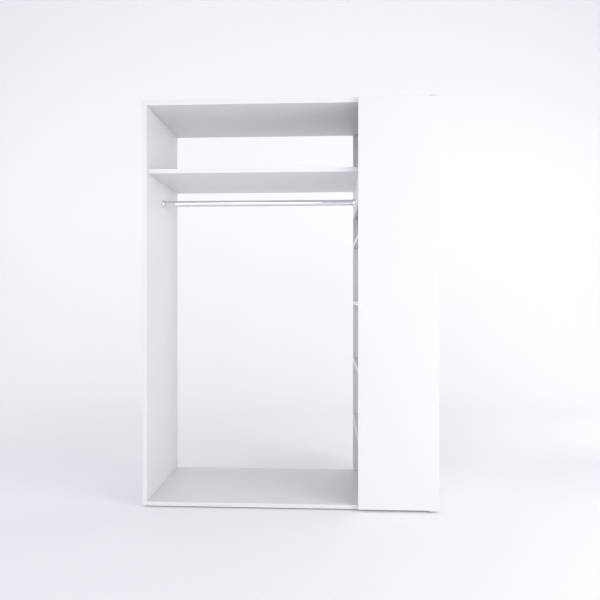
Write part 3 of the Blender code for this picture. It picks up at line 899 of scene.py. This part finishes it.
def nail_hole(node):
    """Cutter for a glide's nail."""
    spot = middle(node)
    spot.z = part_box("bottom_panel")[0].z
    depth = 2 * (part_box(node)[1].z - spot.z + GAP)
    return round_cutter(f"hole_{node}", spot, NAIL_RADIUS + GAP, depth, 16)


# ------------------------------------------------------------------ operators
class WARDROBE_OT_boards(bpy.types.Operator):
    """Build the edge-banded boards of the carcass and the shelf column"""

    bl_idname = "wardrobe.boards"
    bl_label = "Boards"

    def execute(self, context):
        for node in BOARDS:
            piece = banded_board(node, context.scene.wardrobe_boards)
            drill(piece, node)
            stand_in(piece, node)
        return {"FINISHED"}


class WARDROBE_OT_door(bpy.types.Operator):
    """Build the plain door"""

    bl_idname = "wardrobe.door"
    bl_label = "Door"

    def execute(self, context):
        piece = rounded_door(context.scene.wardrobe_boards)
        drill(piece, DOOR)
        stand_in(piece, DOOR)
        return {"FINISHED"}


class WARDROBE_OT_rail(bpy.types.Operator):
    """Build the chrome rail, its sockets and their screws"""

    bl_idname = "wardrobe.rail"
    bl_label = "Hanging rail"

    def execute(self, context):
        low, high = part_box("hanging_rail")
        radius = (high.z - low.z) / 2
        long = high.x - low.x
        wall = 0.0015
        rim = 0.0003
        outline = [
            (radius - rim, long),
            (radius, long - rim),
            (radius, rim),
            (radius - rim, 0),
            (radius - wall, 0),
            (radius - wall, long),
            (radius - rim, long),
        ]
        model = turned("rail_model", outline, 96, hollow=True)
        start = Vector((low.x, middle("hanging_rail").y, middle("hanging_rail").z))
        rail = moved(model, "finished_hanging_rail", facing(start, RIGHT))
        smooth(rail)
        stand_in(rail, "hanging_rail", get_material("chrome"))

        flange = 0.023
        collar = 0.0185
        bore = 0.0163
        thick = 0.003
        tall = 0.015
        outline = [
            (flange, 0),
            (flange, thick - 0.0012),
            (flange - 0.0004, thick - 0.0005),
            (flange - 0.0012, thick),
            (collar + 0.0008, thick),
            (collar + 0.0002, thick + 0.0002),
            (collar, thick + 0.0008),
            (collar, tall - 0.0006),
            (collar - 0.0006, tall),
            (bore + 0.0004, tall),
            (bore, tall - 0.0004),
            (bore, thick),
        ]
        socket = turned("socket_model", outline, 72)
        screw = screw_model(context.scene.wardrobe_metal)
        for side, inwards in (("left", RIGHT), ("right", LEFT)):
            node = f"rail_socket_{side}"
            place = facing(face_point(node, -inwards), inwards)
            piece = copy_to(socket, f"finished_{node}", place)
            for level in ("upper", "lower"):
                name = f"rail_screw_{side}_{level}"
                combine(piece, screw_hole(name), "DIFFERENCE")
                drive(screw, name, inwards)
            smooth(piece)
            stand_in(piece, node, get_material("chrome"))
        remove(socket, screw)
        return {"FINISHED"}


class WARDROBE_OT_pivots(bpy.types.Operator):
    """Build the door's pivots: brackets, bushes, plates with their pins, and screws"""

    bl_idname = "wardrobe.pivots"
    bl_label = "Door pivots"

    def execute(self, context):
        screw = screw_model(context.scene.wardrobe_metal)
        for end, outwards in ENDS.items():
            node = f"{end}_pivot_plate"
            stand_in(bracket_piece(node), node, get_material("coat"))
            node = f"{end}_door_pivot"
            stand_in(door_plate_piece(node), node, get_material("zinc"))
            node = f"{end}_pivot_bush"
            place = facing(face_point(node, outwards), -outwards)
            bush = moved(bush_model(node), f"finished_{node}", place)
            smooth(bush)
            stand_in(bush, node, get_material("nylon"))
            for kind in ("plate", "door"):
                for number in (1, 2):
                    name = f"{end}_{kind}_screw_{number}"
                    drive(screw, name, small_screw_direction(name))
        remove(screw)
        return {"FINISHED"}


class WARDROBE_OT_latches(bpy.types.Operator):
    """Build the push latches and their strike plates"""

    bl_idname = "wardrobe.latches"
    bl_label = "Push latches"

    def execute(self, context):
        for end in ENDS:
            self.sleeve(end)
            self.plunger(end)
            self.spring(end)
            self.strike(end)
        return {"FINISHED"}

    def sleeve(self, end):
        node = f"{end}_latch_sleeve"
        low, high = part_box(node)
        long = high.y - low.y
        flange = SLEEVE["flange"]
        step = -SLEEVE["flange_thickness"]
        outer = SLEEVE["outer"]
        bore = SLEEVE["bore"]
        outline = [
            (bore + 0.0004, 0),
            (flange - 0.0003, 0),
            (flange, -0.0003),
            (flange, step),
            (outer, step),
            (outer, -long + 0.0006),
            (outer - 0.0006, -long),
        ]
        model = turned("sleeve_model", outline, 48)
        deep = 2 * (long - SLEEVE["end_wall"])
        bpy.ops.mesh.primitive_cylinder_add(vertices=48, radius=bore, depth=deep)
        combine(model, bpy.context.object, "DIFFERENCE")
        rear_corner = (RIB["root"], -RIB["half"], RIB["setback"] - long)
        front_corner = (RIB["crown"], RIB["half"], -RIB["setback"])
        for index in range(RIB["count"]):
            rib = block("rib", rear_corner, front_corner)
            rib.data.transform(Matrix.Rotation(index * 2 * math.pi / RIB["count"], 4, "Z"))
            combine(model, rib, "UNION")
        piece = moved(model, f"finished_{node}", facing(face_point(node, FORWARD), FORWARD))
        smooth(piece)
        stand_in(piece, node, get_material("grey"))

    def plunger(self, end):
        node = f"{end}_latch_plunger"
        low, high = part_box(node)
        long = high.y - low.y
        soft_tip = 0.0031
        outline = [
            (0.0020, 0),
            (0.0026, -0.0002),
            (0.0029, -0.0006),
            (0.0030, -0.0012),
            (0.0030, -0.0030),
            (0.0027, -0.0032),
            (0.0027, -0.0038),
            (0.0030, -0.0040),
            (0.0030, -long + 0.0005),
            (0.0025, -long),
        ]
        model = turned("plunger_model", outline, 48)
        finish(model, get_material("nylon"), get_material("rubber"))
        for face in model.data.polygons:
            face.material_index = 1 if face.center.z > -soft_tip else 0
        piece = moved(model, f"finished_{node}", facing(face_point(node, FORWARD), FORWARD))
        smooth(piece)
        stand_in(piece, node)

    def spring(self, end):
        node = f"{end}_latch_spring"
        low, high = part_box(node)
        wire = 0.0003
        turns = 9
        long = high.y - low.y
        radius = (high.z - low.z) / 2 - wire
        select_only()
        bpy.ops.mesh.primitive_circle_add(
            vertices=10, radius=wire, location=(radius, 0, wire), rotation=(math.radians(90), 0, 0)
        )
        model = bpy.context.object
        bpy.ops.object.transform_apply(location=True, rotation=True, scale=True)
        coil = model.modifiers.new("coil", "SCREW")
        coil.steps = 24
        coil.render_steps = 24
        coil.iterations = turns
        coil.screw_offset = (long - 2 * wire) / turns
        apply_modifiers(model)
        with editing(model):
            pick_edges(model, lambda edge: edge.is_boundary)
            bpy.ops.mesh.fill_holes(sides=0)
            bpy.ops.mesh.select_all(action="SELECT")
            bpy.ops.mesh.normals_make_consistent(inside=False)
        piece = moved(model, f"finished_{node}", facing(face_point(node, FORWARD), REARWARD))
        smooth(piece)
        stand_in(piece, node, get_material("zinc"))
        rear = face_point(node, REARWARD)
        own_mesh(piece)

    def strike(self, end):
        node = f"{end}_strike_plate"
        outline = [
            (0.0070, 0),
            (0.0070, 0.0006),
            (0.0067, 0.0009),
            (0.0063, 0.0010),
            (0.0040, 0.0010),
            (0.0036, 0.0008),
        ]
        model = turned("strike_model", outline, 56)
        piece = moved(model, f"finished_{node}", facing(face_point(node, FORWARD), REARWARD))
        smooth(piece)
        stand_in(piece, node, get_material("zinc"))


class WARDROBE_OT_connectors(bpy.types.Operator):
    """Build the connector screws of the carcass"""

    bl_idname = "wardrobe.connectors"
    bl_label = "Connector screws"

    def execute(self, context):
        model = connector_model(context.scene.wardrobe_metal)
        for level in LEVELS:
            for side in SIDES:
                for row in ROWS:
                    node = f"{level}_connector_{side}_{row}"
                    drive(model, node, connector_direction(node))
        remove(model)
        return {"FINISHED"}


class WARDROBE_OT_glides(bpy.types.Operator):
    """Build the nail-on glides under the carcass"""

    bl_idname = "wardrobe.glides"
    bl_label = "Glides"

    def execute(self, context):
        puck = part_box("bottom_panel")[0].z - GAP
        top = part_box("glide_left_front")[1].z
        outline = [
            (0.0080, 0),
            (0.0092, 0.0005),
            (0.0099, 0.0014),
            (0.0100, 0.0030),
            (0.0098, puck - 0.0006),
            (0.0092, puck),
            (NAIL_RADIUS, puck),
            (NAIL_RADIUS, top - 0.0020),
            (0.0003, top),
        ]
        model = turned("glide_model", outline, 48)
        for column in COLUMNS:
            for row in ROWS:
                node = f"glide_{column}_{row}"
                piece = copy_to(model, f"finished_{node}", facing(face_point(node, DOWN), UP))
                smooth(piece)
                stand_in(piece, node, get_material("grey"))
        remove(model)
        return {"FINISHED"}


# Each light: its name, the setting of its power and its share of that power,
# its spot, its target, its size and its tint.
LIGHTS = (
    ("side_light", "side_power", 1, (4.0, -2.4, 1.5), (0.0, 0.0, 1.0), 1.6, (1.0, 0.97, 0.945)),
    ("corner_light", "corner_power", 1, (2.9, -3.9, 1.9), (0.0, 0.0, 1.0), 0.9, (1.0, 0.97, 0.945)),
    ("left_light", "left_power", 1, (-4.0, -2.5, 1.9), (0.1, 0.0, 1.0), 2.5, (1.0, 0.98, 0.97)),
    ("front_light", "front_power", 1, (-1.2, -6.0, 2.1), (0.1, 0.0, 1.0), 2.5, (1.0, 0.995, 1.0)),
    ("wall_light_left", "wall_power", 0.86, (-4.0, 1.2, 1.9), (-2.7, 4.2, 1.9), 2.4, (1.0, 0.95, 0.83)),
    ("wall_light_right", "wall_power", 1, (3.2, 1.2, 1.6), (1.8, 4.2, 1.6), 2.4, (1.0, 0.96, 0.84)),
    ("wall_light_top", "wall_power", 0.40, (-1.3, 1.0, 5.2), (-1.2, 4.2, 2.6), 3.5, (1.0, 0.90, 0.75)),
)
CAMERA_SPOT = (0.1941, -3.1827, 1.036)
CAMERA_TURN = (math.radians(89.767), 0.0, math.radians(2.763))
SENSOR_WIDTH = 36.0


class WARDROBE_OT_stage(bpy.types.Operator):
    """Build the plain floor with its backdrop, the soft light and the camera"""

    bl_idname = "wardrobe.stage"
    bl_label = "Stage"

    def execute(self, context):
        settings = context.scene.wardrobe_stage
        self.backdrop()
        self.light(settings)
        self.camera(settings)
        context.scene.view_settings.view_transform = "Standard"
        return {"FINISHED"}

    def backdrop(self):
        """A floor that curves up into a wall behind."""
        select_only()
        bpy.ops.mesh.primitive_plane_add(size=1, location=(0, 0, 0))
        sweep = bpy.context.object
        sweep.name = "studio_sweep"
        front, start, half = -12.0, 2.2, 22.0
        radius, tall, steps = 2.0, 9.0, 24
        with editing(sweep):
            for vertex in bmesh.from_edit_mesh(sweep.data).verts:
                vertex.co = (half * 2 * vertex.co.x, front if vertex.co.y < 0 else start, 0)
            bmesh.update_edit_mesh(sweep.data)
            pick_edges(sweep, lambda edge: all(v.co.y > start - 0.01 for v in edge.verts))
            for index in range(steps):
                near = math.pi / 2 * index / steps
                far = math.pi / 2 * (index + 1) / steps
                back = radius * (math.sin(far) - math.sin(near))
                rise = radius * (math.cos(near) - math.cos(far))
                bpy.ops.mesh.extrude_region_move(TRANSFORM_OT_translate={"value": (0, back, rise)})
            bpy.ops.mesh.extrude_region_move(TRANSFORM_OT_translate={"value": (0, 0, tall - radius)})
        bpy.ops.object.shade_smooth()
        finish(sweep, get_material("paper"))

    def light(self, settings):
        """Even light from the room, soft lights at the front and both sides, and three on the wall."""
        world = bpy.data.worlds.new("studio_room")
        bpy.context.scene.world = world
        world.use_nodes = True
        nodes = world.node_tree.nodes
        links = world.node_tree.links
        sky = nodes["Background"]
        sky.inputs["Strength"].default_value = settings.sky_strength
        split = nodes.new("ShaderNodeSeparateXYZ")
        links.new(nodes.new("ShaderNodeTexCoord").outputs["Generated"], split.inputs["Vector"])
        ramp = nodes.new("ShaderNodeValToRGB")
        ramp.color_ramp.elements[0].color = (*settings.horizon_colour, 1.0)
        ramp.color_ramp.elements[1].color = (*settings.zenith_colour, 1.0)
        links.new(split.outputs["Z"], ramp.inputs["Fac"])
        links.new(ramp.outputs["Color"], sky.inputs["Color"])
        for name, setting, share, spot, target, size, tint in LIGHTS:
            self.area(name, spot, target, size, getattr(settings, setting) * share, tint)

    def area(self, name, spot, target, size, power, tint):
        """A square soft light at a spot, turned to its target."""
        lamp = bpy.data.lights.new(name, "AREA")
        lamp.shape = "SQUARE"
        lamp.size = size
        lamp.energy = power
        lamp.color = tint
        holder = bpy.data.objects.new(name, lamp)
        holder.location = spot
        aim = Vector(target) - Vector(spot)
        holder.rotation_euler = aim.to_track_quat("-Z", "Y").to_euler()
        bpy.context.scene.collection.objects.link(holder)

    def camera(self, settings):
        view = bpy.data.cameras.new("front_view")
        view.lens = settings.lens
        view.sensor_width = SENSOR_WIDTH
        holder = bpy.data.objects.new("front_view", view)
        holder.location = CAMERA_SPOT
        holder.rotation_euler = CAMERA_TURN
        bpy.context.scene.collection.objects.link(holder)
        bpy.context.scene.camera = holder


class WARDROBE_PT_panel(bpy.types.Panel):
    """Lists the wardrobe's pieces in the sidebar"""

    bl_idname = "WARDROBE_PT_panel"
    bl_label = "Open wardrobe"
    bl_space_type = "VIEW_3D"
    bl_region_type = "UI"
    bl_category = "Wardrobe"

    def draw(self, context):
        for operator in OPERATORS:
            self.layout.operator(operator.bl_idname)


OPERATORS = (
    WARDROBE_OT_boards,
    WARDROBE_OT_door,
    WARDROBE_OT_rail,
    WARDROBE_OT_pivots,
    WARDROBE_OT_latches,
    WARDROBE_OT_connectors,
    WARDROBE_OT_glides,
    WARDROBE_OT_stage,
)
SETTINGS = {
    "wardrobe_boards": BoardSettings,
    "wardrobe_metal": MetalSettings,
    "wardrobe_plastic": PlasticSettings,
    "wardrobe_stage": StageSettings,
}


def register():
    for name, group in SETTINGS.items():
        bpy.utils.register_class(group)
        setattr(bpy.types.Scene, name, bpy.props.PointerProperty(type=group))
    for operator in OPERATORS:
        bpy.utils.register_class(operator)
    bpy.utils.register_class(WARDROBE_PT_panel)


def unregister():
    bpy.utils.unregister_class(WARDROBE_PT_panel)
    for operator in reversed(OPERATORS):
        bpy.utils.unregister_class(operator)
    for name, group in SETTINGS.items():
        delattr(bpy.types.Scene, name)
        bpy.utils.unregister_class(group)


def main():
    register()
    select_only()
    bpy.ops.wardrobe.stage()
    bpy.ops.wardrobe.boards()
    bpy.ops.wardrobe.door()
    bpy.ops.wardrobe.rail()
    bpy.ops.wardrobe.pivots()
    bpy.ops.wardrobe.latches()
    bpy.ops.wardrobe.connectors()
    bpy.ops.wardrobe.glides()


if __name__ == "__main__":
    main()
